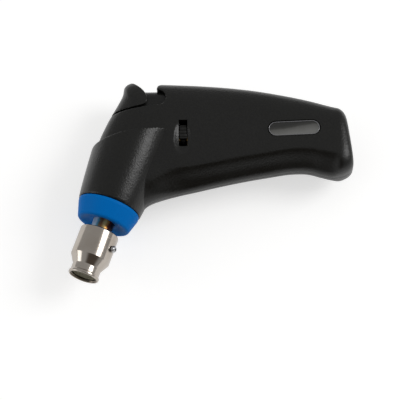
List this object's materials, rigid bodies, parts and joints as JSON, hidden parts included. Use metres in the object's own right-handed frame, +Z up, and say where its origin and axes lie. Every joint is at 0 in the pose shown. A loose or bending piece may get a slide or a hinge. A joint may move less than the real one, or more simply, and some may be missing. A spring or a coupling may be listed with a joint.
{
  "type": "hot air tool",
  "caption": "Cordless gas hot air tool with a curved pistol grip, thumb trigger, side gas regulator, fuel windows and a bright heat shrink nozzle on a heat-tinted burner tube.",
  "frame": {"origin": "under the middle of the tool as it lies on its right side, on the surface it lies on", "axes": "+X from the nozzle end towards the butt, +Y from the finger side towards the back of the head, +Z up out of the surface, towards the left side of the tool"},
  "size_m": [0.1582, 0.1182, 0.043],
  "materials": {
    "black_plastic": "satin",
    "blue_plastic": "satin",
    "smoked_plastic": "clear, smoked",
    "tank_plastic": "translucent",
    "white_nylon": "matte",
    "brass": "turned",
    "steel": "bright",
    "nickel_plate": "polished",
    "tinted_steel": "heat tinted",
    "dark_steel": "oxidised",
    "ceramic": "matte ceramic",
    "rubber": "matte",
    "lead_sheath": "satin"
  },
  "bodies": {
    "body": {"left_housing": "black_plastic", "right_housing": "black_plastic", "nose_collar": "blue_plastic", "fuel_window_left": "smoked_plastic", "fuel_window_right": "smoked_plastic", "fuel_tank": "tank_plastic", "piezo_igniter": "white_nylon", "tank_valve": "brass", "filler_valve": "brass", "mixer_body": "brass", "gas_jet": "brass", "spark_electrode": "steel", "nozzle_screw": "steel", "housing_screw_1": "steel", "housing_screw_2": "steel", "housing_screw_3": "steel", "housing_screw_4": "steel", "housing_screw_5": "steel", "housing_screw_6": "steel", "nozzle_cup": "nickel_plate", "burner_tube": "tinted_steel", "outlet_screen": "dark_steel", "burner_bulkhead": "ceramic", "catalyst_core": "ceramic", "gas_hose": "rubber", "filler_seal": "rubber", "ignition_lead": "lead_sheath"},
    "trigger": {"trigger": "black_plastic"},
    "plunger": {"piezo_plunger": "black_plastic"},
    "fork": {"valve_fork": "steel"},
    "stem": {"valve_stem": "brass"},
    "regulator": {"regulator_lever": "black_plastic"},
    "filler_plunger": {"filler_stem": "white_nylon"}
  },
  "joints": [
    {"name": "trigger_slide", "type": "slide", "parent": "body", "child": "trigger", "axis": [-1, 0, 0], "range_m": [0, 0.004], "stiffness_N_per_m": 800, "springref_m": -0.004},
    {"name": "plunger_slide", "type": "slide", "parent": "body", "child": "plunger", "axis": [-1, 0, 0], "range_m": [0, 0.004]},
    {"name": "fork_swing", "type": "hinge", "parent": "body", "child": "fork", "pos_m": [-0.0219, 0.0212, 0.0215], "axis": [0, 0, 1], "range_deg": [0, 26]},
    {"name": "stem_slide", "type": "slide", "parent": "body", "child": "stem", "axis": [-1, 0, 0], "range_m": [0, 0.0015]},
    {"name": "regulator_turn", "type": "hinge", "parent": "body", "child": "regulator", "pos_m": [-0.0153, 0.025, 0.0215], "axis": [1, 0, 0], "range_deg": [-9, 18]},
    {"name": "filler_slide", "type": "slide", "parent": "body", "child": "filler_plunger", "axis": [-1, 0, 0], "range_m": [0, 0.0012], "stiffness_N_per_m": 600, "springref_m": -0.002}
  ],
  "couplings": [
    {"joint": "plunger_slide", "follows": "trigger_slide", "ratio": 1},
    {"joint": "fork_swing", "follows": "trigger_slide", "rad_per_m": 113.4},
    {"joint": "stem_slide", "follows": "trigger_slide", "ratio": 0.375}
  ]
}
